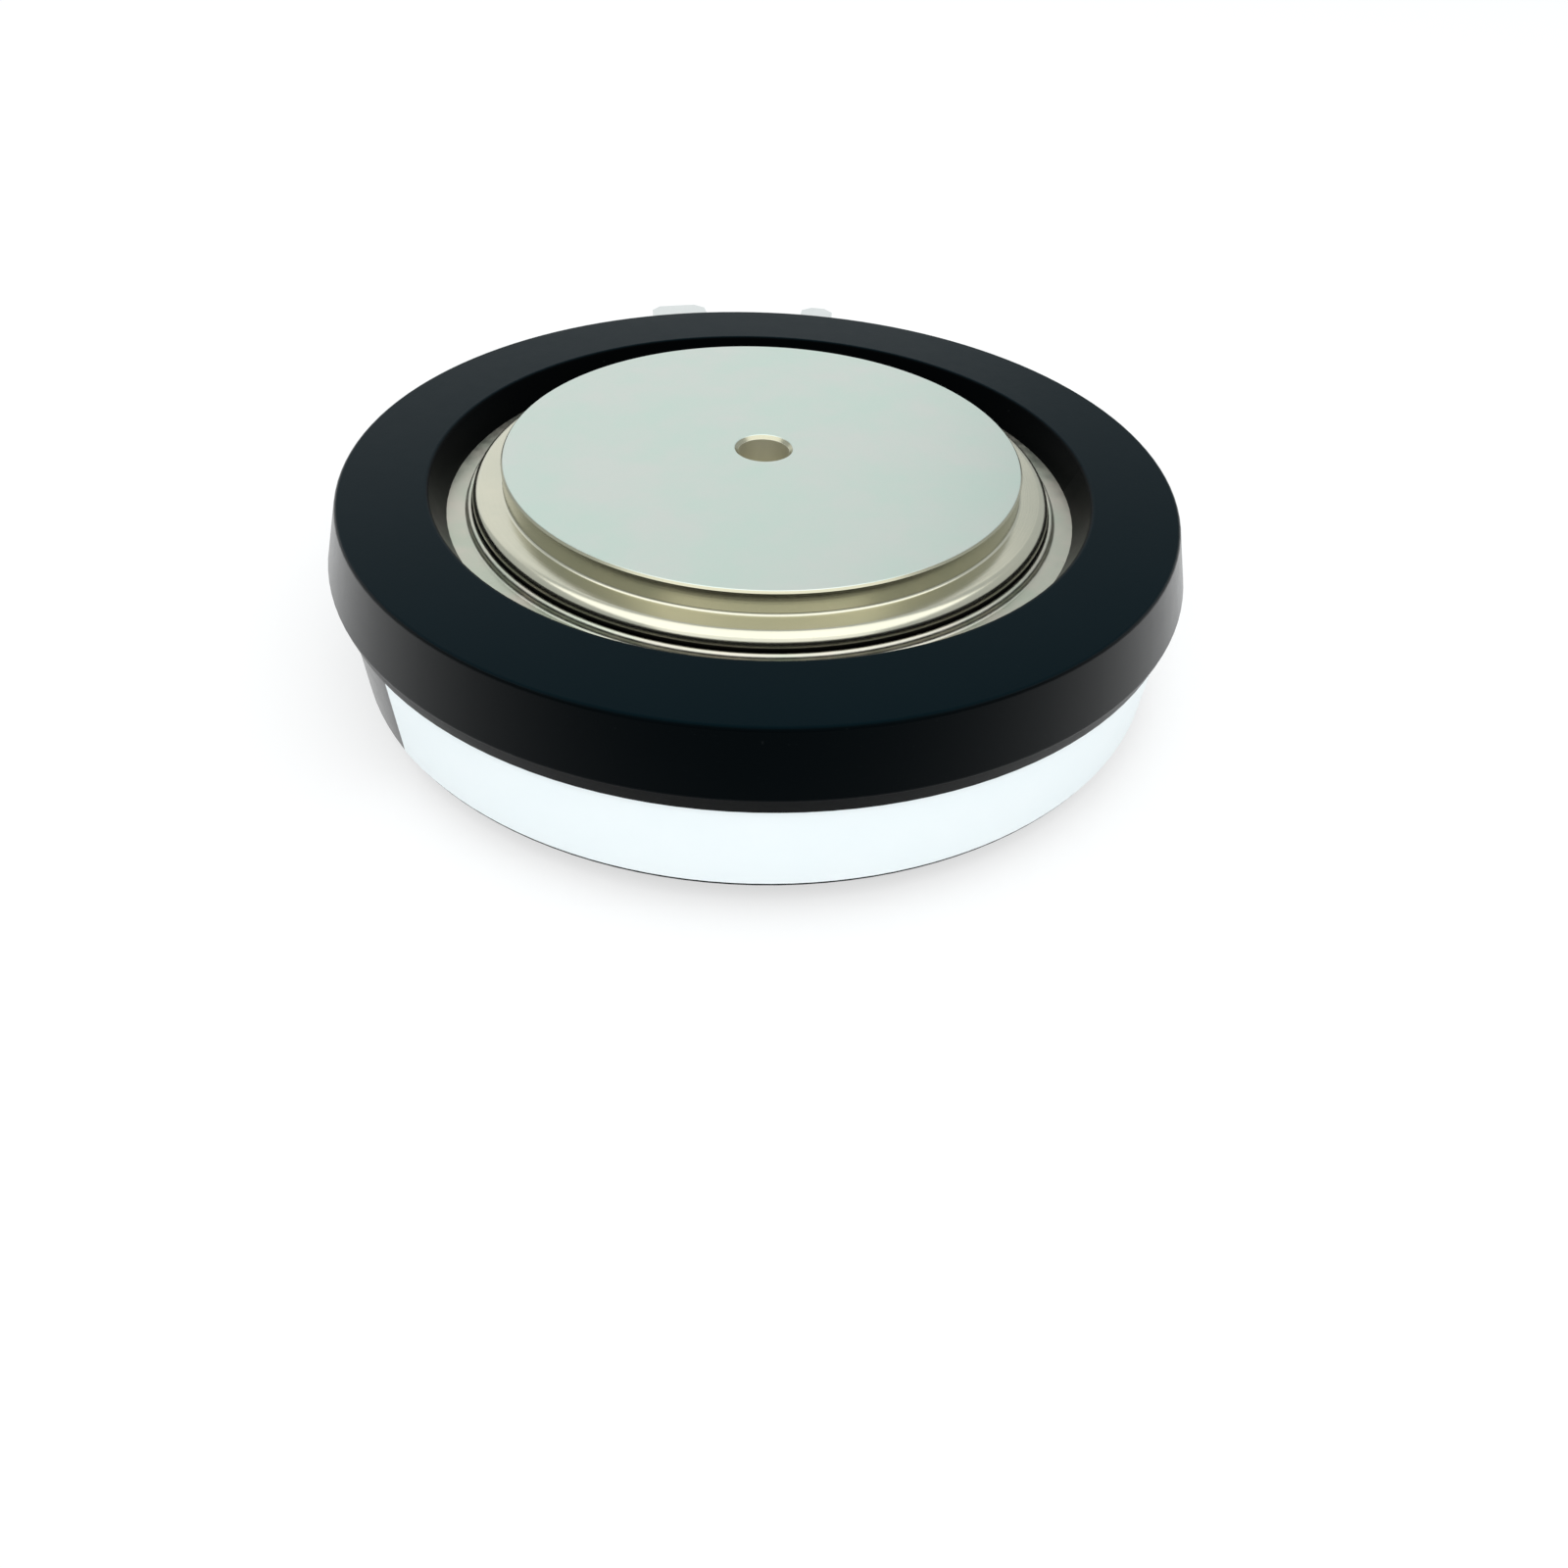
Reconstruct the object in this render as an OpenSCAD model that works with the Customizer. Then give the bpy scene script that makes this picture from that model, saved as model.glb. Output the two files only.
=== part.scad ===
// Disc thyristor: a silicon disc pressed between two copper poles in a two-part insulating case.
// Millimetres. The origin is the centre of the anode contact face, +Z points to the cathode,
// and the two blade tabs leave the case on the +Y side.

/* [Overall] */
// Height between the two contact faces
overall_h = 14; // [13.5:0.25:22]
// Height of the cathode contact face above the cover ring
face_proud = 1.15; // [0.5:0.05:1.8]
// Height of the case's base above the anode contact face
base_proud = 1.25; // [0.8:0.05:2.2]

/* [Poles] */
// Height of the contact face over the pole's shoulder
face_step = 1.6; // [0.8:0.05:1.7]
// Chamfer on the edge of the contact face
face_chamfer = 0.15; // [0.1:0.05:0.5]
// Fillet at the foot of the contact face
foot_fillet = 0.2; // [0.1:0.05:0.4]
// Width of the shoulder around the contact face
shoulder_w = 2.1; // [1.5:0.05:4]
// Rounding of the shoulder's edge
shoulder_round = 0.75; // [0.3:0.05:0.85]
// Depth of the undercut between the shoulder and the collar's seat
neck_cut = 0.15; // [0.05:0.05:0.25]
// Depth of the undercut's floor below the contact face
neck_floor = 2.95; // [2.85:0.05:3.1]
// Diameter of the locating hole in each contact face
hole_d = 3.5; // [2:0.1:6]
// Depth of the locating hole
hole_depth = 2.1; // [1.5:0.1:2.4]
// Chamfer at the mouth of the locating hole
hole_chamfer = 0.25; // [0.1:0.05:0.5]

/* [Flanges] */
// Thickness of the flange sheet
sheet_t = 0.45; // [0.3:0.05:0.55]
// Depth of the collar's edge below the contact face
collar_depth = 2.6; // [2.25:0.05:2.65]
// Depth of the flange's raised land below the contact face
land_depth = 3.1; // [3.05:0.05:3.3]
// Bend fillet between the collar and the raised land
bend_fillet = 0.2; // [0.1:0.05:0.25]
// Width of the open recess between the collar and the case
recess_w = 1.35; // [0.8:0.05:4]
// Width of the flange's edge that the case covers
clamp_w = 3.4; // [2.9:0.1:5]
// How far the case's lips reach over the raised land
lip_lap = 0.9; // [0.5:0.1:1.2]
// Radial gap around the flanges and the spacer inside the case
seat_gap = 0.2; // [0.05:0.05:0.4]
// Thickness of the gaskets between the flanges and the spacer
gasket_t = 0.6; // [0.3:0.05:0.75]

/* [Cover ring] */
// Widest diameter of the ring
ring_wide_d = 58.5; // [52:0.5:68]
// Height of the ring
ring_h = 5; // [4:0.1:7]
// How far the ring's wall slopes out below its top face
ring_taper = 1.25; // [0:0.05:2.5]
// Height of the lip under the widest edge
lip_h = 1.1; // [0.4:0.1:2]
// How far the lip tapers inward
lip_inset = 0.3; // [0.1:0.05:0.6]
// How much the bore's radius grows towards the top
bore_draft = 0.9; // [0:0.05:1.2]
// Rounding of the ring's edges
ring_round = 0.3; // [0.1:0.05:0.45]

/* [Housing body] */
// Diameter of the body under the cover ring
body_d = 57.2; // [50:0.1:64]
// Thickness of the rim that the cover ring fits over
rim_t = 1.8; // [1.3:0.1:3]
// Thickness of the cover ring's skirt over the rim
skirt_t = 1.8; // [1:0.1:4]
// How much the body's radius shrinks towards the base
body_draft = 0.15; // [0:0.05:0.5]
// Chamfer on the base's edges
base_chamfer = 0.3; // [0.1:0.05:0.6]
// Clearance of fitted plastic pieces
fit = 0.05; // [0.02:0.01:0.15]

/* [Label] */
// Thickness of the label
label_t = 0.1; // [0.05:0.01:0.2]
// Gap between the label and the cover ring
label_gap = 0.2; // [0.1:0.05:0.8]
// Bare strip under the label
label_strip = 0.55; // [0.4:0.05:1.5]
// Angle that the label covers
label_arc = 156; // [60:1:240]
// Angle of the label's left end, from the +X axis
label_start = -143.5; // [-170:0.5:-100]

/* [Tabs] */
// Thickness of the blade tabs
tab_t = 0.8; // [0.5:0.05:1.1]
// Width of the auxiliary cathode tab
aux_tab_w = 4.8; // [2.8:0.1:6.3]
// Width of the gate tab
gate_tab_w = 2.8; // [2:0.1:4.8]
// Length of the tabs outside the case
tab_len = 5.75; // [4.5:0.05:12]
// Angle between the two tabs
tab_spread = 21.5; // [19:0.5:50]
// Diameter of the detent hole in each tab
tab_hole_d = 1.3; // [0.8:0.1:1.5]
// Distance of the detent hole from the tip
tab_hole_inset = 3; // [2:0.1:3.4]
// Chamfer on the corners of the tabs' tips
tab_chamfer = 0.8; // [0.3:0.05:0.9]
// How far the auxiliary tab overlaps the cathode flange
tab_lap = 1.6; // [1:0.1:2]
// How far the keys under the tabs stay inside the case
key_inset = 0.3; // [0:0.05:0.6]
// How far the gate tab's leg reaches below the gate lead
leg_drop = 0.7; // [0.4:0.05:1.5]

/* [Silicon stack] */
// How far the silicon disc reaches past the contact face
wafer_margin = 1.5; // [0.8:0.1:2]
// Thickness of the silicon disc
wafer_t = 0.4; // [0.2:0.05:0.7]
// Width of the bevel on the silicon disc's edge
wafer_bevel = 0.4; // [0.2:0.05:0.6]
// Thickness of the anode molybdenum disc
anode_moly_t = 1.5; // [1:0.1:2.1]
// Thickness of the cathode molybdenum disc
cathode_moly_t = 0.6; // [0.4:0.05:1]
// How far the cathode molybdenum disc stays inside the contact face
moly_inset = 0.5; // [0.2:0.1:2]
// Diameter of the gate hole in the cathode molybdenum disc
moly_hole_d = 4; // [3:0.1:5]
// Length of the cathode pole below its flange
boss_h = 1.98; // [1.9:0.02:2.5]
// Height of the anode pole above its flange
anode_boss_h = 0.88; // [0.5:0.02:1.5]
// How far the anode pole stays inside the silicon disc
anode_boss_inset = 0.5; // [0.2:0.1:2]
// Width of the edge seal around the silicon disc
seal_w = 2.1; // [1:0.1:3]
// Height of the edge seal over the silicon disc
seal_rise = 0.35; // [0.1:0.05:0.45]
// Clearance of the edge seal
seal_gap = 0.1; // [0.05:0.05:0.3]

/* [Gate contact] */
// Diameter of the gate pocket in the cathode pole
pocket_d = 7; // [6:0.1:10]
// Depth of the gate pocket
pocket_depth = 3.4; // [3:0.1:3.7]
// Diameter of the gate pin's head
pin_head_d = 3.8; // [3.2:0.1:4.4]
// Height of the gate pin's head
pin_head_h = 0.7; // [0.6:0.05:0.9]
// Diameter of the gate pin's tip
pin_tip_d = 1.6; // [1:0.1:2.2]
// Running clearance of the gate pin and its bush
gate_fit = 0.1; // [0.05:0.05:0.2]
// Thickness of the bush's closed end
bush_end = 0.5; // [0.3:0.05:0.8]
// Height of the gate lead over the stack
lead_rise = 0.6; // [0.55:0.05:0.65]
// Diameter of the gate lead
wire_d = 0.5; // [0.3:0.05:0.55]
// Wall of the gate lead's sleeve
sleeve_t = 0.17; // [0.1:0.01:0.2]
// Width of the slots for the gate lead
slot_w = 1.2; // [1:0.1:2]
// Outer diameter of the gate spring
spring_d = 3.2; // [2.4:0.1:3.6]
// Diameter of the spring's wire
spring_wire_d = 0.4; // [0.25:0.05:0.45]
// Number of turns of the gate spring
spring_turns = 3; // [2:0.5:3.5]

/* [Hidden] */
$fn = 128;
// Overshoot of cutting shapes
over = 1;
// Steps of an arc that rounds a corner of an outline
arc_steps = 6;

// Radii of the case, whose rim and keys lie inside the narrower of its two halves
body_r = body_d / 2;
base_r = body_r - body_draft;
ring_wide_r = ring_wide_d / 2;
ring_low_r = ring_wide_r - lip_inset;
ring_top_r = ring_wide_r - ring_taper;
case_r = min(body_r, ring_low_r);
key_r = case_r - key_inset;
rim_r = case_r - skirt_t;
cavity_r = rim_r - rim_t;

// Radii of the flanges and the poles, from the case inward
flange_r = cavity_r - seat_gap;
ring_bore_r = flange_r - clamp_w;
step_r = ring_bore_r + lip_lap;
collar_r = ring_bore_r - recess_w;
seat_r = collar_r - sheet_t;
neck_r = seat_r - neck_cut;
face_r = seat_r - shoulder_w;

// Radii of the stack and of the gaskets, which lie under the flanges' rims
gasket_bore_r = step_r - sheet_t;
wafer_r = face_r + wafer_margin;
boss_r = face_r - moly_inset;
anode_boss_r = wafer_r - anode_boss_inset;
seal_r = wafer_r + seal_w;
spacer_bore_r = seal_r + seal_gap;

// Depth of each flange's clamped rim below its contact face, half of what the stack leaves
stack_h = anode_moly_t + wafer_t + cathode_moly_t;
flange_depth = (overall_h - anode_boss_h - stack_h - boss_h) / 2 - sheet_t;

// Heights of the flanges, the gaskets and the spacer
cathode_land_z = overall_h - land_depth;
anode_land_z = land_depth;
cathode_seat_z = overall_h - flange_depth;
cathode_inner_z = cathode_seat_z - sheet_t;
anode_seat_z = flange_depth;
anode_inner_z = anode_seat_z + sheet_t;
spacer_low_z = anode_inner_z + gasket_t;
spacer_top_z = cathode_inner_z - gasket_t;

// Heights of the stack
stack_low_z = anode_inner_z + anode_boss_h;
wafer_low_z = stack_low_z + anode_moly_t;
wafer_top_z = wafer_low_z + wafer_t;
stack_top_z = wafer_top_z + cathode_moly_t;

// Heights of the case and of the label on its wall
ring_top_z = overall_h - face_proud;
ring_low_z = ring_top_z - ring_h;
label_low_z = base_proud + label_strip;
label_top_z = ring_low_z - label_gap;

// Tabs, which lie on the level of the cathode flange, and the keys under them
aux_angle = tab_spread / 2;
gate_angle = -tab_spread / 2;
tab_top_z = cathode_seat_z + tab_t;
tab_reach = max(body_r, ring_wide_r) + tab_len;
aux_tab_start = flange_r - tab_lap;
gate_tab_start = cavity_r + seat_gap;
key_start = rim_r - rim_t / 2;

// Gate contact in the cathode pole
lead_z = stack_top_z + lead_rise;
lead_r = wire_d / 2;
sleeve_r = lead_r + sleeve_t;
pocket_top_z = stack_top_z + pocket_depth;
head_r = pin_head_d / 2;
head_low_z = lead_z - pin_head_h / 2;
head_top_z = head_low_z + pin_head_h;
bush_low_z = stack_top_z + gate_fit;
bush_r = pocket_d / 2 - fit;
bush_bore_r = head_r + gate_fit;
bush_ceiling_z = pocket_top_z - bush_end;
slot_top_z = lead_z + slot_w / 2;
leg_low_z = lead_z - leg_drop;
lead_start = head_r / 2;
lead_end = gate_tab_start + tab_t / 2;

// Radius of the body's drafted wall at a height
function wall_r(z) = base_r + (body_r - base_r) * (z - base_proud) / (ring_low_z - base_proud);

function unit(v) = v / norm(v);

// Points of an arc of radius r that rounds one convex corner of an outline
function corner_arc(before, corner, after, r) =
  let (
    u = unit(before - corner),
    v = unit(after - corner),
    half = acos(u * v) / 2,
    centre = corner + unit(u + v) * r / sin(half),
    first = corner + u * r / tan(half) - centre,
    last = corner + v * r / tan(half) - centre
  )
  [for (i = [0 : arc_steps]) centre + r * unit(first * (arc_steps - i) + last * i)];

// Fillet in the corner of a wall on the left and a floor below
module floor_fillet(corner, r) {
  translate(corner) difference() {
    translate([-r, -r]) square(2 * r);
    translate([r, r]) circle(r);
  }
}

// Section of a pole with its contact face at height 0 and its body below, down to the flange's inner face
module pole_section() {
  pole_low = -flange_depth - sheet_t;
  round_z = -face_step - shoulder_round;
  polygon([
    [0, round_z], [0, 0], [face_r - face_chamfer, 0], [face_r, -face_chamfer], [face_r, round_z]
  ]);
  floor_fillet([face_r, -face_step], foot_fillet);
  translate([0, pole_low]) square([neck_r, round_z - pole_low]);
  translate([0, pole_low]) square([seat_r - shoulder_round, -face_step - pole_low]);
  translate([seat_r - shoulder_round, round_z]) circle(shoulder_round);
  translate([0, pole_low]) square([seat_r, -neck_floor - pole_low]);
}

// Blind locating hole with a chamfered mouth, cut down from height 0
module locating_hole() {
  translate([0, 0, -hole_depth]) cylinder(h = hole_depth + over, d = hole_d);
  translate([0, 0, -hole_chamfer])
    cylinder(h = hole_chamfer + over, d1 = hole_d, d2 = hole_d + 2 * (hole_chamfer + over));
}

// Section of a stamped flange: a collar on the pole, a raised land around it, and a lower rim
module flange_section() {
  land_low = -land_depth - sheet_t;
  rim_low = -flange_depth - sheet_t;
  collar_round = sheet_t / 2;
  translate([seat_r, land_low]) square([sheet_t, -collar_depth - collar_round - land_low]);
  translate([seat_r + collar_round, -collar_depth - collar_round]) circle(collar_round);
  translate([seat_r, land_low]) square([step_r - seat_r, sheet_t]);
  translate([step_r - sheet_t, rim_low]) square([sheet_t, -land_depth - rim_low]);
  translate([step_r - sheet_t, rim_low]) square([flange_r - step_r + sheet_t, sheet_t]);
  floor_fillet([collar_r, -land_depth], bend_fillet);
}

// Turns a shape that points along +Y towards one of the two tabs
module at_tab(angle) {
  rotate([0, 0, angle]) children();
}

// Straight box along +Y between two radii
module radial_box(width, from, to, low, top) {
  translate([-width / 2, from, low]) cube([width, to - from, top - low]);
}

// Straight round bar along +Y between two radii, at the height of the gate lead
module radial_bar(r, from, to) {
  translate([0, from, lead_z]) rotate([-90, 0, 0]) cylinder(h = to - from, r = r);
}

// Flat blade along +Y with a chamfered tip and a detent hole
module blade(width, from) {
  half = width / 2;
  difference() {
    translate([0, 0, cathode_seat_z]) linear_extrude(tab_t)
      polygon([
        [-half, from], [half, from], [half, tab_reach - tab_chamfer],
        [half - tab_chamfer, tab_reach], [tab_chamfer - half, tab_reach], [-half, tab_reach - tab_chamfer]
      ]);
    translate([0, tab_reach - tab_hole_inset, cathode_seat_z - over])
      cylinder(h = tab_t + 2 * over, d = tab_hole_d);
  }
}

// Slot in the cover ring that drops over a tab and the key under it
module tab_slot(width, from) {
  slot_width = width + 2 * fit;
  radial_box(slot_width, from - fit, tab_reach, cathode_seat_z, tab_top_z + fit);
  radial_box(slot_width, key_start, tab_reach, ring_low_z - over, cathode_seat_z + fit);
}

module cover_ring() {
  bore_low = [ring_bore_r, cathode_land_z];
  bore_top = [ring_bore_r + bore_draft, ring_top_z];
  top_edge = [ring_top_r, ring_top_z];
  wide_edge = [ring_wide_r, ring_low_z + lip_h];
  low_edge = [ring_low_r, ring_low_z];
  color([0.09, 0.14, 0.16]) difference() {
    rotate_extrude() polygon([
      bore_low,
      each corner_arc(bore_low, bore_top, top_edge, ring_round),
      each corner_arc(bore_top, top_edge, wide_edge, ring_round),
      each corner_arc(top_edge, wide_edge, low_edge, ring_round),
      low_edge, [rim_r + fit, ring_low_z], [rim_r + fit, cathode_seat_z],
      [step_r + fit, cathode_seat_z], [step_r + fit, cathode_land_z]
    ]);
    at_tab(aux_angle) tab_slot(aux_tab_w, aux_tab_start);
    at_tab(gate_angle) tab_slot(gate_tab_w, gate_tab_start);
  }
}

// Key on the body that fills the cover ring's slot under a tab
module tab_key(width) {
  radial_box(width, key_start, key_r, ring_low_z, cathode_seat_z);
}

module housing_body() {
  color([0.10, 0.13, 0.14]) difference() {
    union() {
      rotate_extrude() polygon([
        [ring_bore_r, base_proud + base_chamfer], [ring_bore_r + base_chamfer, base_proud],
        [base_r - base_chamfer, base_proud],
        [wall_r(base_proud + base_chamfer), base_proud + base_chamfer], [body_r, ring_low_z],
        [rim_r, ring_low_z], [rim_r, cathode_seat_z], [cavity_r, cathode_seat_z],
        [cavity_r, anode_seat_z], [step_r + fit, anode_seat_z],
        [step_r + fit, anode_land_z], [ring_bore_r, anode_land_z]
      ]);
      at_tab(aux_angle) tab_key(aux_tab_w);
      at_tab(gate_angle) tab_key(gate_tab_w);
    }
    at_tab(gate_angle)
      radial_box(gate_tab_w + 2 * fit, cavity_r - over, gate_tab_start + tab_t + fit,
        leg_low_z - fit, cathode_seat_z + over);
  }
}

module type_label() {
  color([0.95, 0.97, 0.98]) rotate([0, 0, label_start]) rotate_extrude(angle = label_arc) polygon([
    [wall_r(label_low_z), label_low_z], [wall_r(label_low_z) + label_t, label_low_z],
    [wall_r(label_top_z) + label_t, label_top_z], [wall_r(label_top_z), label_top_z]
  ]);
}

module cathode_pole() {
  color([0.80, 0.83, 0.79]) difference() {
    union() {
      translate([0, 0, overall_h]) rotate_extrude() pole_section();
      translate([0, 0, stack_top_z]) cylinder(h = boss_h + sheet_t, r = boss_r);
    }
    translate([0, 0, overall_h]) locating_hole();
    translate([0, 0, stack_top_z - over]) cylinder(h = pocket_depth + over, d = pocket_d);
    at_tab(gate_angle) radial_box(slot_w, 0, seat_r + over, stack_top_z - over, slot_top_z);
  }
}

module cathode_flange() {
  color([0.74, 0.75, 0.70]) translate([0, 0, overall_h]) rotate_extrude() flange_section();
}

module anode_pole() {
  color([0.80, 0.83, 0.79]) difference() {
    union() {
      mirror([0, 0, 1]) rotate_extrude() pole_section();
      translate([0, 0, anode_seat_z]) cylinder(h = stack_low_z - anode_seat_z, r = anode_boss_r);
    }
    mirror([0, 0, 1]) locating_hole();
  }
}

module anode_flange() {
  color([0.74, 0.75, 0.70]) mirror([0, 0, 1]) rotate_extrude() flange_section();
}

module auxiliary_cathode_tab() {
  color([0.82, 0.83, 0.82]) at_tab(aux_angle) blade(aux_tab_w, aux_tab_start);
}

module gate_tab() {
  color([0.82, 0.83, 0.82]) at_tab(gate_angle) difference() {
    union() {
      blade(gate_tab_w, gate_tab_start);
      radial_box(gate_tab_w, gate_tab_start, gate_tab_start + tab_t, leg_low_z, tab_top_z);
    }
    radial_bar(lead_r, gate_tab_start - over, lead_end);
  }
}

// Flat ring between two heights
module flat_ring(inner_r, outer_r, low, top) {
  translate([0, 0, low]) difference() {
    cylinder(h = top - low, r = outer_r);
    translate([0, 0, -over]) cylinder(h = top - low + 2 * over, r = inner_r);
  }
}

module insulating_spacer() {
  color([0.86, 0.84, 0.78]) difference() {
    flat_ring(spacer_bore_r, flange_r, spacer_low_z, spacer_top_z);
    at_tab(gate_angle) radial_bar(sleeve_r + fit, 0, flange_r + over);
  }
}

module upper_gasket() {
  color([0.65, 0.25, 0.20]) flat_ring(gasket_bore_r, flange_r, spacer_top_z, cathode_inner_z);
}

module lower_gasket() {
  color([0.65, 0.25, 0.20]) flat_ring(gasket_bore_r, flange_r, anode_inner_z, spacer_low_z);
}

// Silicon disc with its edge bevelled towards the cathode
module wafer_shape() {
  translate([0, 0, wafer_low_z])
    cylinder(h = wafer_t, r1 = wafer_r, r2 = wafer_r - wafer_bevel);
}

module silicon_wafer() {
  color([0.30, 0.31, 0.34]) wafer_shape();
}

// Molybdenum disc that carries the silicon, as wide as the silicon
module anode_moly_shape() {
  translate([0, 0, stack_low_z]) cylinder(h = anode_moly_t, r = wafer_r);
}

module anode_molybdenum_disc() {
  color([0.55, 0.55, 0.57]) anode_moly_shape();
}

module cathode_molybdenum_disc() {
  color([0.60, 0.60, 0.62]) flat_ring(moly_hole_d / 2, boss_r, wafer_top_z, stack_top_z);
}

module wafer_edge_seal() {
  inner_r = boss_r + seal_gap;
  color([0.88, 0.88, 0.86]) difference() {
    flat_ring(inner_r, seal_r, stack_low_z + seal_gap, wafer_top_z + seal_rise);
    wafer_shape();
    anode_moly_shape();
  }
}

module gate_pin() {
  color([0.78, 0.70, 0.45]) difference() {
    union() {
      translate([0, 0, wafer_top_z]) cylinder(h = head_low_z - wafer_top_z, d = pin_tip_d);
      translate([0, 0, head_low_z]) cylinder(h = pin_head_h, r = head_r);
    }
    at_tab(gate_angle) radial_bar(lead_r, lead_start, head_r + over);
  }
}

// Points on one ring of the spring's wire, at a turn counted from its lower end
function spring_ring(turn, low, rise, coil_r, wire_r, sides) = [
  for (i = [0 : sides - 1])
    let (a = 360 * i / sides, out = coil_r + wire_r * cos(a))
      [out * cos(360 * turn), out * sin(360 * turn), low + rise * turn + wire_r * sin(a)]
];

module gate_spring() {
  sides = 8;
  per_turn = 24;
  steps = floor(spring_turns * per_turn);
  wire_r = spring_wire_d / 2;
  coil_r = spring_d / 2 - wire_r;
  low = head_top_z + wire_r;
  rise = (bush_ceiling_z - head_top_z - spring_wire_d) / spring_turns;
  points = [
    for (s = [0 : steps])
      each spring_ring(spring_turns * s / steps, low, rise, coil_r, wire_r, sides)
  ];
  walls = [
    for (s = [0 : steps - 1], i = [0 : sides - 1])
      let (j = (i + 1) % sides)
        [s * sides + i, (s + 1) * sides + i, (s + 1) * sides + j, s * sides + j]
  ];
  first_end = [for (i = [0 : sides - 1]) i];
  last_end = [for (i = [sides - 1 : -1 : 0]) steps * sides + i];
  color([0.70, 0.70, 0.72]) polyhedron(points, concat(walls, [first_end, last_end]));
}

module gate_bush() {
  color([0.92, 0.90, 0.84]) difference() {
    translate([0, 0, bush_low_z]) cylinder(h = pocket_top_z - bush_low_z, r = bush_r);
    translate([0, 0, bush_low_z - over]) cylinder(h = bush_ceiling_z - bush_low_z + over, r = bush_bore_r);
    at_tab(gate_angle) radial_box(slot_w, 0, bush_r + over, bush_low_z - over, slot_top_z);
  }
}

module gate_lead() {
  color([0.80, 0.55, 0.35]) at_tab(gate_angle) radial_bar(lead_r, lead_start, lead_end);
}

module gate_sleeve() {
  sleeve_start = head_r + gate_fit;
  color([0.90, 0.90, 0.88]) at_tab(gate_angle) difference() {
    radial_bar(sleeve_r, sleeve_start, gate_tab_start);
    radial_bar(lead_r, sleeve_start - over, gate_tab_start + over);
  }
}

cover_ring();
housing_body();
type_label();
cathode_pole();
cathode_flange();
anode_pole();
anode_flange();
auxiliary_cathode_tab();
gate_tab();
insulating_spacer();
upper_gasket();
lower_gasket();
silicon_wafer();
anode_molybdenum_disc();
cathode_molybdenum_disc();
wafer_edge_seal();
gate_pin();
gate_spring();
gate_bush();
gate_lead();
gate_sleeve();
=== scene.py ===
"""Looks of the disc thyristor: a procedural finish for every piece, a pale floor, soft light and a camera."""
import math

import bmesh
import bpy
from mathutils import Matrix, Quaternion, Vector


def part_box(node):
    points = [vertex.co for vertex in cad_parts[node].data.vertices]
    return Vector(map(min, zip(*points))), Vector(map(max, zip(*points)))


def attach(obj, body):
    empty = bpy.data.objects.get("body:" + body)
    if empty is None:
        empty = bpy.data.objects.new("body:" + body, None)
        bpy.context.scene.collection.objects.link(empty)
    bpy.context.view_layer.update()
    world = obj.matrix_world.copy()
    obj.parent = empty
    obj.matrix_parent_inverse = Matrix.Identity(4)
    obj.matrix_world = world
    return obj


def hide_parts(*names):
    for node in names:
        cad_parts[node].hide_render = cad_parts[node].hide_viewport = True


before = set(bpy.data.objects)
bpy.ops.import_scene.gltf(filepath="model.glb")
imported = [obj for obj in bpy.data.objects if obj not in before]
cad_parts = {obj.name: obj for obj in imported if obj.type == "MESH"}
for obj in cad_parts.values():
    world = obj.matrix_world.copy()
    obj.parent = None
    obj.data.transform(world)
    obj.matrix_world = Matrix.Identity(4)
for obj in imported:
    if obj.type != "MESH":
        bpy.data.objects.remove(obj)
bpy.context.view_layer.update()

MM = 0.001

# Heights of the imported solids, in millimetres
ANODE_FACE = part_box("anode_pole")[0].z / MM
CATHODE_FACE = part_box("cathode_pole")[1].z / MM
MID = (ANODE_FACE + CATHODE_FACE) / 2
RIM_DEPTH = CATHODE_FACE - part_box("cathode_flange")[0].z / MM
COLLAR_DEPTH = CATHODE_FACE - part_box("cathode_flange")[1].z / MM
CATHODE_BOSS_DEPTH = CATHODE_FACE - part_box("cathode_pole")[0].z / MM
ANODE_BOSS_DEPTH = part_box("anode_pole")[1].z / MM - ANODE_FACE

# Sizes of the turned poles, as the solids have them, in millimetres
FACE_R = 17.5
FACE_STEP = 1.6
FACE_CHAMFER = 0.15
FOOT_FILLET = 0.2
SEAT_R = 19.6
SHOULDER_ROUND = 0.75
NECK_R = 19.45
NECK_FLOOR = 2.95
HOLE_R = 1.75
HOLE_DEPTH = 2.1
HOLE_CHAMFER = 0.25
CATHODE_BOSS_R = 17.0
ANODE_BOSS_R = 18.5
POCKET_R = 3.5
POCKET_DEPTH = 3.4
SLOT_W = 1.2
SLOT_H = 1.2
GATE_ANGLE = math.radians(-10.75)

# Sizes of the stamped flanges, in millimetres
SHEET_T = 0.45
LAND_DEPTH = 3.1
BEND_FILLET = 0.2
STEP_R = 22.3
FLANGE_R = 24.8

# Fineness of the turned pieces
TURN_STEPS = 384
ARC_STEPS = 12
EDGE_BREAK = 0.03
EDGE_SEGMENTS = 2
CUT_OVER = 1.0
SHARP_ANGLE = math.radians(28)

# Camera at the photograph's angle
CAMERA_AT = Vector((-3.755, -69.334, 48.226)) * MM
CAMERA_AIM = Vector((-0.327, -32.008, 12.85)) * MM
CAMERA_ROLL = math.radians(3.09)
CAMERA_LENS = 24.996
SENSOR_W = 36.0
CLIP_START = 1 * MM
CLIP_END = 20.0

# Light of the studio
SKY_COLOR = (0.92, 0.98, 1.0, 1.0)
SKY_LEVEL = 0.60
FLOOR_SIZE = 6.0
FLOOR_COLOR = (0.96, 0.96, 0.96, 1.0)
FLOOR_WHITE_SHARE = 0.6

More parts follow.
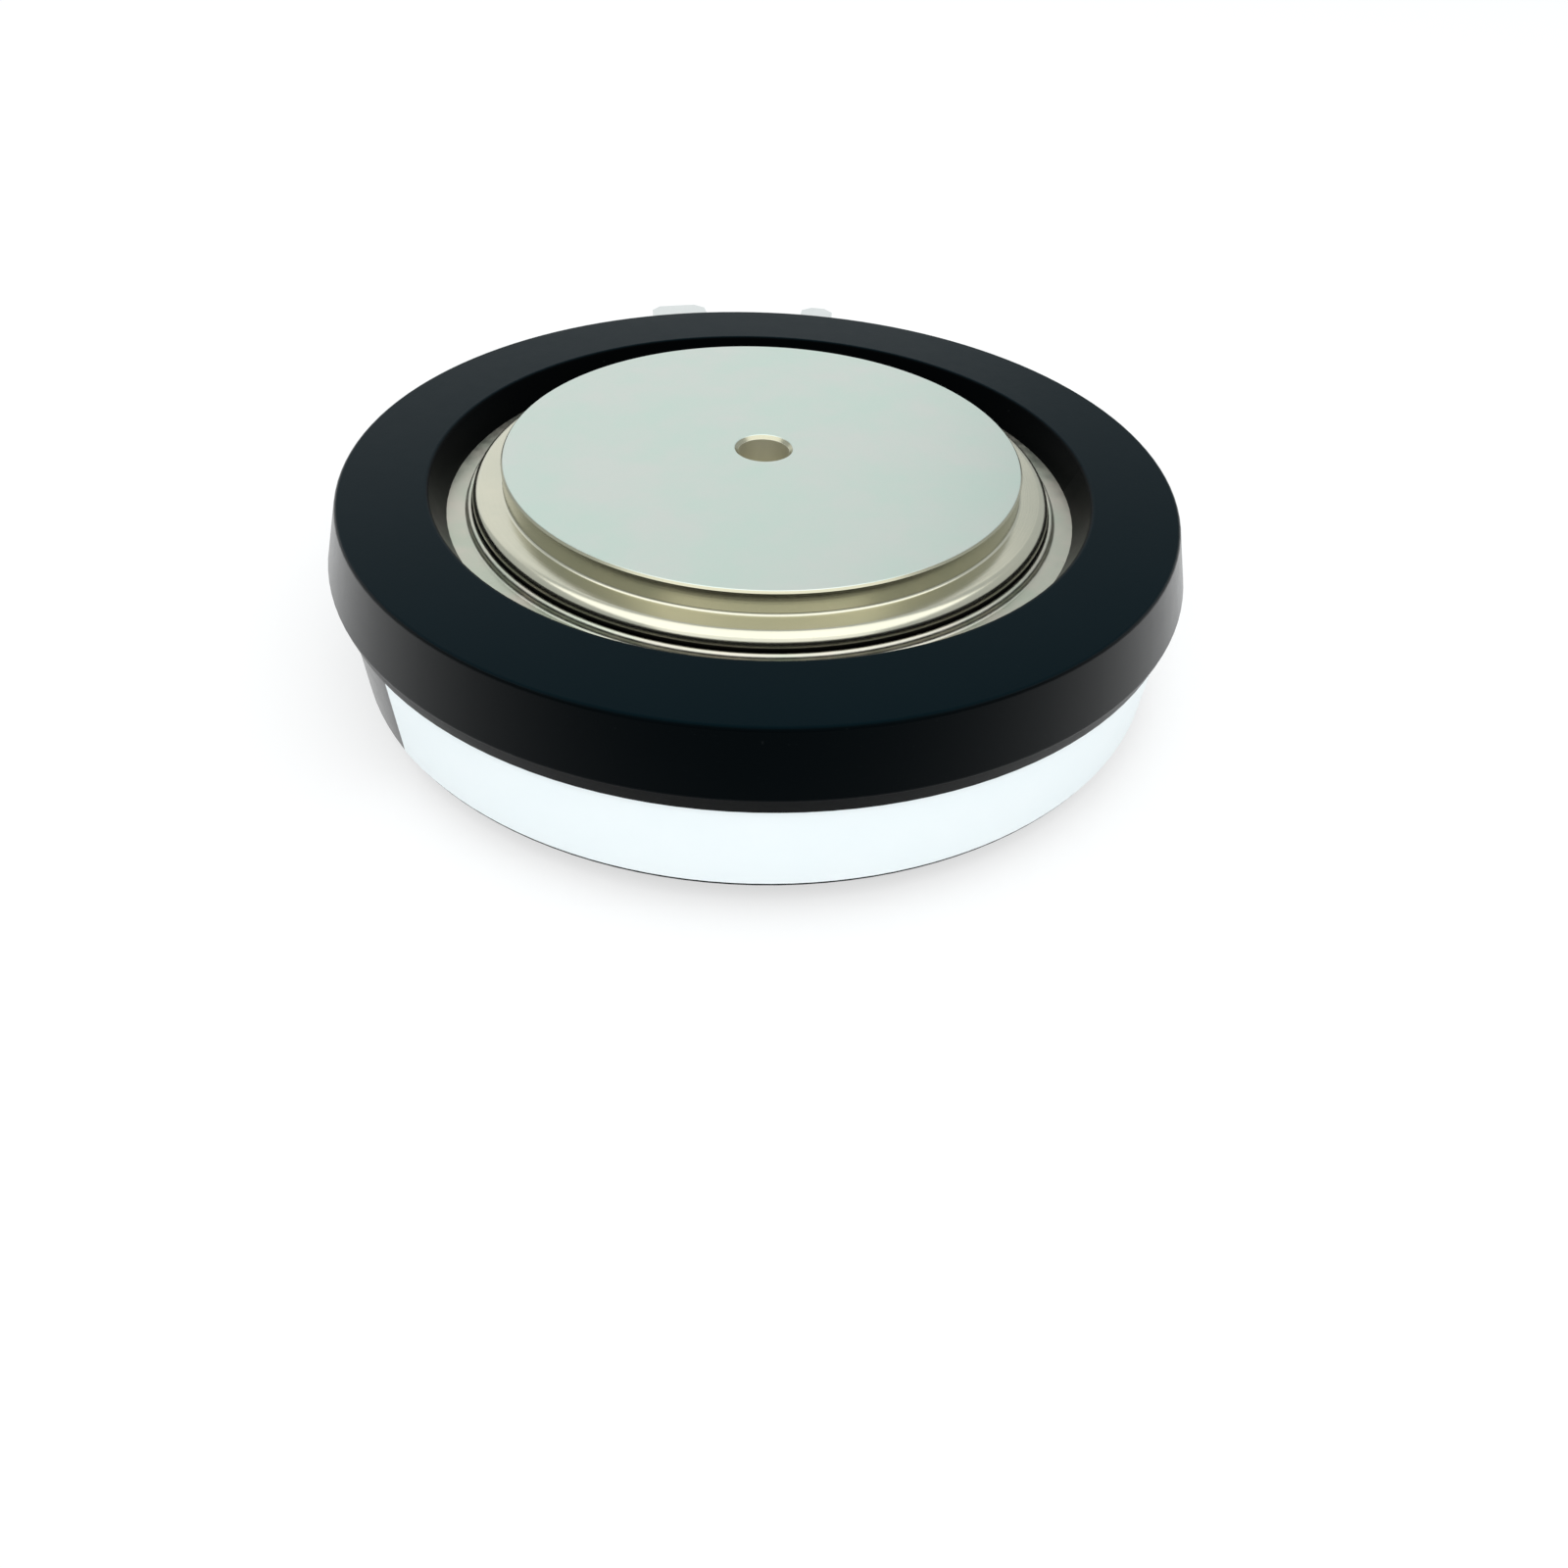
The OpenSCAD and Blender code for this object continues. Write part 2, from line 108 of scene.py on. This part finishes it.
# Softboxes: name, place, width and height in metres, and brightness relative to white
SOFTBOXES = (
    ("softbox_top", (0.0, -0.10, 0.80), 1.6, 1.05, 1.1),
    ("softbox_front", (0.0, -0.85, 0.62), 1.6, 0.62, 0.72),
    ("softbox_back", (-0.32, 1.20, 0.56), 1.6, 1.0, 0.42),
)


class Finish:
    """One material's node graph, with the Principled shader at its end."""

    def __init__(self, name, **values):
        self.material = bpy.data.materials.new(name)
        self.material.use_nodes = True
        self.tree = self.material.node_tree
        self.shader = self.tree.nodes["Principled BSDF"]
        for socket, value in values.items():
            self.drive(socket.replace("_", " "), value)
        self.place = self.add("TexCoord", out="Object")

    def feed(self, socket, value):
        """Links a node's output to a socket, or sets the socket's own value."""
        if isinstance(value, bpy.types.NodeSocket):
            self.tree.links.new(value, socket)
        else:
            socket.default_value = value

    def add(self, kind, inputs=None, out=0, **settings):
        """Adds a node, sets or links its inputs, and returns one of its outputs."""
        node = self.tree.nodes.new("ShaderNode" + kind)
        for name, value in settings.items():
            setattr(node, name, value)
        for name, value in (inputs or {}).items():
            self.feed(node.inputs[name], value)
        return node.outputs[out]

    def drive(self, socket, value):
        """Sets or links one of the shader's own inputs."""
        names = {"Specular": "Specular IOR Level", "Coat": "Coat Weight"}
        self.feed(self.shader.inputs[names.get(socket, socket)], value)

    def math(self, operation, a, b=0.0):
        """Combines one or two values."""
        return self.add("Math", {0: a, 1: b}, operation=operation)

    def spread(self, value, low, high, to_low=0.0, to_high=1.0):
        """Maps a value from one range to another, held at its ends."""
        sizes = {"From Min": low, "From Max": high, "To Min": to_low, "To Max": to_high}
        return self.add("MapRange", {"Value": value, **sizes})

    def blend(self, share, a, b):
        """Mixes two colours."""
        return self.add("Mix", {"Factor": share, 6: a, 7: b}, out=2, data_type="RGBA")

    def noise(self, grain, detail=2.0, roughness=0.5, place=None):
        """Noise from 0 to 1 with grains of a size in millimetres."""
        inputs = {"Vector": place or self.place, "Scale": 1 / (grain * MM), "Detail": detail}
        return self.add("TexNoise", {**inputs, "Roughness": roughness})

    def lines(self, along, pitch, detail=2.0):
        """Noise along one coordinate only, which makes tool marks of a pitch in millimetres."""
        inputs = {"W": along, "Scale": 1 / (pitch * MM), "Detail": detail}
        return self.add("TexNoise", inputs, noise_dimensions="1D")

    def axes(self):
        """Radius from the disc's axis, and height."""
        parts = self.tree.nodes.new("ShaderNodeSeparateXYZ")
        self.feed(parts.inputs[0], self.place)
        x, y, z = parts.outputs
        squares = self.math("ADD", self.math("MULTIPLY", x, x), self.math("MULTIPLY", y, y))
        return self.math("SQRT", squares), z

    def relief(self, height, depth, strength=1.0):
        """Bump of a depth in millimetres."""
        inputs = {"Height": height, "Distance": depth * MM, "Strength": strength}
        self.drive("Normal", self.add("Bump", inputs, out="Normal"))


def color(*rgb):
    """Opaque colour from its three linear parts."""
    return (*rgb, 1.0)


def case_plastic():
    """Black moulded plastic: satin outer walls, and a duller skin with a trace of dust elsewhere; the top
    faces carry a lighter teal as painted light.
    """
    f = Finish("case_black", IOR=1.5, Specular_Tint=color(0.01, 0.03, 0.04))
    up = f.add("SeparateXYZ", {0: f.add("TexCoord", out="Normal")}, out="Z")
    on_top = f.spread(up, 0.75, 0.97)
    radius = f.axes()[0]
    inside = f.spread(radius, (STEP_R + 0.4) * MM, (STEP_R + 0.2) * MM)
    under = f.spread(up, -0.05, -0.2)
    dull = f.math("MAXIMUM", on_top, f.math("MAXIMUM", inside, under))
    cloud = f.noise(9, 3)
    skin = f.noise(0.16, 3, 0.6)
    scuff = f.noise(1.3, 5, 0.7)
    dust = f.spread(f.noise(0.35, 2), 0.76, 0.82)
    wall = f.blend(cloud, color(0.0008, 0.0011, 0.0013), color(0.0012, 0.0016, 0.0018))
    # painted light: the top faces get a lighter teal than the black walls of the same plastic
    top = f.blend(cloud, color(0.0012, 0.0060, 0.0085), color(0.0018, 0.0075, 0.0105))
    black_with_painted_top_light = f.blend(on_top, wall, top)
    dust_share = f.math("MULTIPLY", dust, 0.15)
    f.drive("Base Color", f.blend(dust_share, black_with_painted_top_light, color(0.08, 0.09, 0.09)))
    f.drive("Specular", f.spread(dull, 0.0, 1.0, 0.5, 0.04))
    worn = f.math("ADD", f.math("MULTIPLY", scuff, 0.10), f.math("MULTIPLY", cloud, 0.05))
    f.drive("Roughness", f.math("ADD", worn, f.spread(dull, 0.0, 1.0, 0.16, 0.26)))
    grain = f.math("ADD", skin, f.math("MULTIPLY", scuff, 0.6))
    f.relief(f.math("MULTIPLY", grain, f.spread(dull, 0.0, 1.0, 0.35, 1.0)), 0.005, 0.6)
    return f.material


def pole_nickel():
    """Nickel plate: a lapped face, turned sides tinted tan as painted reflection with the step wall a shade
    lower as painted shade, a dull drilled hole, and near-black painted shade in the undercut below the
    shoulder.
    """
    f = Finish("pole_nickel", Metallic=1.0)
    radius, z = f.axes()
    height = f.math("ABSOLUTE", f.math("SUBTRACT", z, MID * MM))
    depth = f.math("SUBTRACT", (CATHODE_FACE - MID) * MM, height)
    on_face = f.spread(depth, 0.04 * MM, 0.02 * MM)
    equator = FACE_STEP + SHOULDER_ROUND
    # painted shade: everything deeper than the shoulder's widest line turns near-black
    painted_shade_band = f.spread(depth, (equator - 0.06) * MM, (equator + 0.06) * MM)
    # mask of the step wall below the contact face, which gets painted shade
    wall_shade_mask = f.spread(radius, (FACE_R + 0.06) * MM, (FACE_R + 0.01) * MM)
    in_hole = f.spread(radius, (HOLE_R + 0.03) * MM, (HOLE_R + 0.01) * MM)
    mottle = f.spread(f.noise(5.5, 4, 0.6), 0.35, 0.65)
    stain = f.noise(4.0, 4, 0.6)
    turned = f.lines(f.math("ADD", radius, z), 0.09, 3)
    lapped = f.noise(0.12, 4, 0.7)
    face = f.blend(mottle, color(0.60, 0.70, 0.63), color(0.65, 0.69, 0.64))
    # painted reflection: the turned sides are tinted tan, with random stains over it
    stained_tan_reflection = f.blend(stain, color(0.58, 0.58, 0.47), color(0.70, 0.66, 0.53))
    # painted shade: the step wall is a darker copy of the tan side tone
    side = f.blend(wall_shade_mask, stained_tan_reflection, f.blend(stain, color(0.44, 0.44, 0.33), color(0.54, 0.51, 0.38)))
    drilled = color(0.60, 0.58, 0.47)
    # colour of the painted shade in the undercut
    painted_shade_black = color(0.012, 0.012, 0.010)
    plate = f.blend(in_hole, f.blend(on_face, side, face), drilled)
    f.drive("Base Color", f.blend(painted_shade_band, plate, painted_shade_black))
    rough_face = f.spread(lapped, 0.2, 0.8, 0.32, 0.42)
    rough_side = f.spread(turned, 0.2, 0.8, 0.16, 0.28)
    rough = f.add("Mix", {"Factor": on_face, 2: rough_side, 3: rough_face})
    dull = f.math("MAXIMUM", painted_shade_band, in_hole)
    f.drive("Roughness", f.add("Mix", {"Factor": dull, 2: rough, 3: 0.6}))
    marks = f.add("Mix", {"Factor": on_face, 2: turned, 3: f.math("MULTIPLY", lapped, 0.35)})
    f.relief(marks, 0.003, 0.5)
    return f.material


def flange_nickel():
    """Stamped nickel sheet with a mottled grey and pinkish bloom."""
    f = Finish("flange_nickel", Metallic=1.0)
    bloom = f.noise(0.9, 5, 0.65)
    patch = f.spread(f.noise(3.2, 3), 0.35, 0.65)
    grain = f.noise(0.1, 3, 0.6)
    cool = f.blend(bloom, color(0.46, 0.50, 0.41), color(0.58, 0.60, 0.50))
    warm = f.blend(bloom, color(0.55, 0.52, 0.44), color(0.66, 0.62, 0.54))
    f.drive("Base Color", f.blend(patch, cool, warm))
    f.drive("Roughness", f.spread(bloom, 0.25, 0.75, 0.26, 0.44))
    f.relief(f.math("ADD", grain, bloom), 0.006, 0.6)
    return f.material


def label_film():
    """White printed film, bare of print, with a faint fibre and a soft sheen."""
    f = Finish("label_white", IOR=1.45, Coat=0.15, Coat_Roughness=0.3)
    tone = f.noise(4, 3)
    fibre = f.noise(0.08, 3, 0.7)
    f.drive("Base Color", f.blend(tone, color(0.86, 0.92, 0.935), color(0.90, 0.94, 0.95)))
    f.drive("Roughness", f.spread(fibre, 0.2, 0.8, 0.42, 0.55))
    f.relief(fibre, 0.002, 0.5)
    return f.material


def tab_tin():
    """Tin-plated blade with rolling marks along its length."""
    f = Finish("tab_tin", Metallic=1.0)
    stretched = f.add("Mapping", {"Vector": f.place, "Scale": (1.0, 0.08, 1.0)})
    rolled = f.noise(0.12, 3, 0.6, stretched)
    bloom = f.noise(1.2, 4, 0.6)
    f.drive("Base Color", f.blend(bloom, color(0.70, 0.72, 0.71), color(0.80, 0.81, 0.79)))
    f.drive("Roughness", f.spread(rolled, 0.2, 0.8, 0.26, 0.42))
    f.relief(rolled, 0.004, 0.5)
    return f.material


def plain_finish(name, low, high, grain, rough, metallic=0.0):
    """Finish of a piece inside the case: two tones in grains of a size, with a matching bump."""
    f = Finish(name, Metallic=metallic)
    cloud = f.noise(grain * 12, 3)
    fine = f.noise(grain, 4, 0.65)
    f.drive("Base Color", f.blend(cloud, color(*low), color(*high)))
    f.drive("Roughness", f.spread(fine, 0.2, 0.8, rough - 0.07, rough + 0.07))
    f.relief(fine, grain * 0.03, 0.5)
    return f.material


def floor_paper():
    """Pale studio paper, partly self-white where it is seen, so that its shadows stay light."""
    f = Finish("studio_paper", Base_Color=FLOOR_COLOR, Roughness=1.0, Specular=0.0)
    seen = 0.0
    for ray in ("Is Camera Ray", "Is Glossy Ray", "Is Transmission Ray"):
        seen = f.math("MAXIMUM", f.add("LightPath", out=ray), seen)
    white = f.add("Emission", {"Color": color(1.0, 1.0, 1.0), "Strength": 1.0})
    share = f.math("MULTIPLY", seen, FLOOR_WHITE_SHARE)
    mixed = f.add("MixShader", {0: share, 1: f.shader.outputs[0], 2: white})
    f.feed(f.tree.nodes["Material Output"].inputs["Surface"], mixed)
    return f.material


def arc(centre, radius, start, end):
    """Points of an arc in a section, where an angle of 0 points outward and 90 towards the contact face."""
    steps = max(2, round(ARC_STEPS * abs(end - start) / 90))
    angles = [math.radians(start + (end - start) * i / steps) for i in range(steps + 1)]
    return [(centre[0] + radius * math.cos(a), centre[1] - radius * math.sin(a)) for a in angles]


def pole_outline(boss_r, boss_depth, pocket):
    """Section of a pole as radius and depth below its contact face, from the hole's floor to the boss."""
    round_r = SEAT_R - SHOULDER_ROUND
    neck_angle = -math.degrees(math.acos((NECK_R - round_r) / SHOULDER_ROUND))
    outline = [(0, HOLE_DEPTH), (HOLE_R, HOLE_DEPTH), (HOLE_R, HOLE_CHAMFER), (HOLE_R + HOLE_CHAMFER, 0)]
    outline += [(FACE_R - FACE_CHAMFER, 0), (FACE_R, FACE_CHAMFER)]
    outline += arc((FACE_R + FOOT_FILLET, FACE_STEP - FOOT_FILLET), FOOT_FILLET, 180, 270)
    outline += arc((round_r, FACE_STEP + SHOULDER_ROUND), SHOULDER_ROUND, 90, neck_angle)
    outline += [(NECK_R, NECK_FLOOR), (SEAT_R, NECK_FLOOR), (SEAT_R, RIM_DEPTH), (boss_r, RIM_DEPTH)]
    outline += [(boss_r, boss_depth)]
    if pocket:
        pocket_top = boss_depth - POCKET_DEPTH
        outline += [(POCKET_R, boss_depth), (POCKET_R, pocket_top), (0, pocket_top)]
    else:
        outline += [(0, boss_depth)]
    return outline


def flange_outline():
    """Closed section of a flange as radius and depth below the contact face."""
    collar_round = SHEET_T / 2
    collar_r = SEAT_R + SHEET_T
    land_inner = LAND_DEPTH + SHEET_T
    outline = [(SEAT_R, land_inner)]
    outline += arc((SEAT_R + collar_round, COLLAR_DEPTH + collar_round), collar_round, 180, 0)
    outline += arc((collar_r + BEND_FILLET, LAND_DEPTH - BEND_FILLET), BEND_FILLET, 180, 270)
    outline += [(STEP_R, LAND_DEPTH), (STEP_R, RIM_DEPTH - SHEET_T), (FLANGE_R, RIM_DEPTH - SHEET_T)]
    outline += [(FLANGE_R, RIM_DEPTH), (STEP_R - SHEET_T, RIM_DEPTH), (STEP_R - SHEET_T, land_inner)]
    return outline


def turn(name, outline, face, inward, closed=False):
    """Turns a section about the disc's axis into a smooth mesh, with its contact face at a height."""
    shape = bmesh.new()
    rings = []
    angles = [2 * math.pi * k / TURN_STEPS for k in range(TURN_STEPS)]
    for radius, depth in outline:
        z = (face + inward * depth) * MM
        if radius == 0:
            rings.append([shape.verts.new((0, 0, z))] * TURN_STEPS)
            continue
        r = radius * MM
        rings.append([shape.verts.new((r * math.cos(a), r * math.sin(a), z)) for a in angles])
    pairs = list(zip(rings, rings[1:])) + ([(rings[-1], rings[0])] if closed else [])
    for low, high in pairs:
        for k in range(TURN_STEPS):
            corners = [low[k], low[k - 1], high[k - 1], high[k]]
            shape.faces.new(list(dict.fromkeys(corners)))
    bmesh.ops.recalc_face_normals(shape, faces=shape.faces)
    mesh = bpy.data.meshes.new(name)
    shape.to_mesh(mesh)
    shape.free()
    mesh.shade_smooth()
    piece = bpy.data.objects.new(name, mesh)
    bpy.context.collection.objects.link(piece)
    return piece


def cut_gate_slot(piece):
    """Cuts the gate lead's slot into the underside of the cathode pole's boss."""
    low = (CATHODE_FACE - CATHODE_BOSS_DEPTH - CUT_OVER) * MM
    top = (CATHODE_FACE - CATHODE_BOSS_DEPTH + SLOT_H) * MM
    half = SLOT_W / 2 * MM
    shape = bmesh.new()
    bmesh.ops.create_cube(shape, size=1.0)
    for vert in shape.verts:
        x = math.copysign(half, vert.co.x)
        y = (SEAT_R + CUT_OVER) * MM if vert.co.y > 0 else 0.0
        z = top if vert.co.z > 0 else low
        vert.co = Quaternion((0, 0, 1), GATE_ANGLE) @ Vector((x, y, z))
    mesh = bpy.data.meshes.new("gate_slot_cutter")
    shape.to_mesh(mesh)
    shape.free()
    cutter = bpy.data.objects.new("gate_slot_cutter", mesh)
    bpy.context.collection.objects.link(cutter)
    boolean = piece.modifiers.new("gate_slot", "BOOLEAN")
    boolean.operation = "DIFFERENCE"
    boolean.solver = "EXACT"
    boolean.object = cutter
    evaluated = piece.evaluated_get(bpy.context.evaluated_depsgraph_get())
    result = bpy.data.meshes.new_from_object(evaluated)
    piece.modifiers.clear()
    piece.data = result
    bpy.data.objects.remove(cutter)


def finish_turned(piece, node, finish):
    """Breaks a turned piece's edges, gives it its finish and lets it stand for its node."""
    piece.data.set_sharp_from_angle(angle=SHARP_ANGLE)
    edges = piece.modifiers.new("edge_break", "BEVEL")
    edges.width = EDGE_BREAK * MM
    edges.segments = EDGE_SEGMENTS
    edges.limit_method = "ANGLE"
    edges.angle_limit = SHARP_ANGLE
    normals = piece.modifiers.new("even_normals", "WEIGHTED_NORMAL")
    normals.keep_sharp = True
    piece.data.materials.clear()
    piece.data.materials.append(finish)
    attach(piece, "root")
    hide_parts(node)


def add_turned_pieces(pole, flange):
    """Builds the poles and the flanges as clean turned meshes of the same form as their solids."""
    cathode_outline = pole_outline(CATHODE_BOSS_R, CATHODE_BOSS_DEPTH, True)
    anode_outline = pole_outline(ANODE_BOSS_R, ANODE_BOSS_DEPTH, False)
    cathode = turn("cathode_pole_turned", cathode_outline, CATHODE_FACE, -1)
    cut_gate_slot(cathode)
    anode = turn("anode_pole_turned", anode_outline, ANODE_FACE, 1)
    upper = turn("cathode_flange_stamped", flange_outline(), CATHODE_FACE, -1, closed=True)
    lower = turn("anode_flange_stamped", flange_outline(), ANODE_FACE, 1, closed=True)
    finish_turned(cathode, "cathode_pole", pole)
    finish_turned(anode, "anode_pole", pole)
    finish_turned(upper, "cathode_flange", flange)
    finish_turned(lower, "anode_flange", flange)


def dress_nodes():
    """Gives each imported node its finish."""
    case, pole, flange, tab = case_plastic(), pole_nickel(), flange_nickel(), tab_tin()
    gasket = plain_finish("gasket_red", (0.36, 0.06, 0.045), (0.46, 0.08, 0.06), 0.2, 0.6)
    moly = plain_finish("molybdenum", (0.38, 0.38, 0.40), (0.46, 0.46, 0.48), 0.08, 0.35, 1.0)
    white = plain_finish("insulator_white", (0.78, 0.78, 0.76), (0.84, 0.84, 0.82), 0.1, 0.45)
    cream = plain_finish("spacer_cream", (0.74, 0.70, 0.60), (0.80, 0.77, 0.68), 0.15, 0.5)
    silicon = plain_finish("silicon_grey", (0.08, 0.085, 0.10), (0.11, 0.115, 0.13), 0.05, 0.3)
    seal = plain_finish("silicone_white", (0.76, 0.76, 0.74), (0.83, 0.83, 0.81), 0.3, 0.55)
    gold = plain_finish("gate_gold", (0.68, 0.52, 0.22), (0.78, 0.61, 0.29), 0.06, 0.28, 1.0)
    steel = plain_finish("spring_steel", (0.46, 0.46, 0.48), (0.54, 0.54, 0.56), 0.05, 0.3, 1.0)
    copper = plain_finish("lead_copper", (0.60, 0.30, 0.15), (0.70, 0.38, 0.21), 0.05, 0.3, 1.0)
    finishes = {
        "cover_ring": case,
        "housing_body": case,
        "type_label": label_film(),
        "cathode_pole": pole,
        "anode_pole": pole,
        "cathode_flange": flange,
        "anode_flange": flange,
        "auxiliary_cathode_tab": tab,
        "gate_tab": tab,
        "insulating_spacer": cream,
        "upper_gasket": gasket,
        "lower_gasket": gasket,
        "silicon_wafer": silicon,
        "anode_molybdenum_disc": moly,
        "cathode_molybdenum_disc": moly,
        "wafer_edge_seal": seal,
        "gate_pin": gold,
        "gate_spring": steel,
        "gate_bush": white,
        "gate_sleeve": white,
        "gate_lead": copper,
    }
    for name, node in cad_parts.items():
        node.data.materials.clear()
        node.data.materials.append(finishes[name])
    add_turned_pieces(pole, flange)


def add_floor():
    """Pale floor under the anode contact face."""
    half = FLOOR_SIZE / 2
    corners = [(-half, -half, 0), (half, -half, 0), (half, half, 0), (-half, half, 0)]
    mesh = bpy.data.meshes.new("studio_floor")
    mesh.from_pydata(corners, [], [(0, 1, 2, 3)])
    mesh.materials.append(floor_paper())
    floor = bpy.data.objects.new("studio_floor", mesh)
    bpy.context.collection.objects.link(floor)


def add_sky():
    """Plain pale studio all round."""
    world = bpy.data.worlds.new("studio_sky")
    bpy.context.scene.world = world
    world.use_nodes = True
    background = world.node_tree.nodes["Background"]
    background.inputs["Color"].default_value = SKY_COLOR
    background.inputs["Strength"].default_value = SKY_LEVEL


def add_softbox(name, at, width, height, level):
    """Area lamp that faces the part, out of the camera's sight, with a brightness relative to white."""
    lamp = bpy.data.lights.new(name, "AREA")
    lamp.shape = "RECTANGLE"
    lamp.size = width
    lamp.size_y = height
    lamp.energy = level * math.pi * width * height
    box = bpy.data.objects.new(name, lamp)
    box.location = at
    box.rotation_mode = "QUATERNION"
    box.rotation_quaternion = (Vector((0, 0, MID * MM)) - Vector(at)).to_track_quat("-Z", "Y")
    box.visible_camera = False
    bpy.context.collection.objects.link(box)


def add_lights():
    """Softboxes overhead, on the camera's side and behind the part, which add to the studio's own light."""
    for softbox in SOFTBOXES:
        add_softbox(*softbox)


def add_camera():
    """Camera at the place and angle that were fitted to the photograph."""
    lens = bpy.data.cameras.new("camera")
    lens.lens = CAMERA_LENS
    lens.sensor_width = SENSOR_W
    lens.clip_start = CLIP_START
    lens.clip_end = CLIP_END
    camera = bpy.data.objects.new("camera", lens)
    camera.location = CAMERA_AT
    camera.rotation_mode = "QUATERNION"
    level = (CAMERA_AIM - CAMERA_AT).to_track_quat("-Z", "Y")
    camera.rotation_quaternion = level @ Quaternion((0, 0, 1), CAMERA_ROLL)
    bpy.context.collection.objects.link(camera)
    bpy.context.scene.camera = camera


dress_nodes()
add_floor()
add_sky()
add_lights()
add_camera()
bpy.context.scene.view_settings.view_transform = "Standard"
